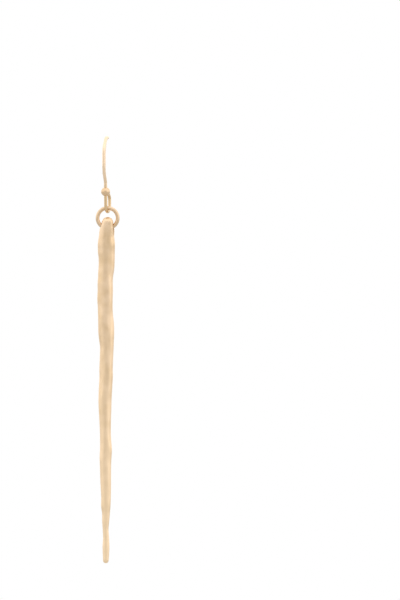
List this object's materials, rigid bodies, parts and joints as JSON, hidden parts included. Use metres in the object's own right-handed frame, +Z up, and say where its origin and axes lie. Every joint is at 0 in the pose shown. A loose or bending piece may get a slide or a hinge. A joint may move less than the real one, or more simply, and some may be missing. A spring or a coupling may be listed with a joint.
{
  "type": "drop earring",
  "caption": "Drop earring with a beaded fish-hook ear wire, a jump ring and a long tapering hammered bar that swings freely, in satin champagne gold.",
  "frame": {"origin": "underside of the ear wire at its highest point, where it hangs in the ear", "axes": "+Z up along the hanging bar, -Y to the front, the side the picture shows, +X to the right in the picture"},
  "size_m": [0.0057, 0.0084, 0.1018],
  "materials": {
    "gold_plate": "satin champagne gold plate over brass"
  },
  "bodies": {
    "hook": {"ear_hook": "gold_plate", "hook_bead": "gold_plate"},
    "ring": {"jump_ring": "gold_plate"},
    "bar": {"hammered_bar": "gold_plate"}
  },
  "joints": [
    {"name": "ring_swing", "type": "hinge", "parent": "hook", "child": "ring", "pos_m": [0.00013, 0.00045, -0.01725], "axis": [0, 1, 0], "range_deg": [-45, 45]},
    {"name": "bar_swing", "type": "hinge", "parent": "ring", "child": "bar", "pos_m": [0.00013, 0.00045, -0.02116], "axis": [1, 0, 0], "range_deg": [-30, 30]}
  ]
}
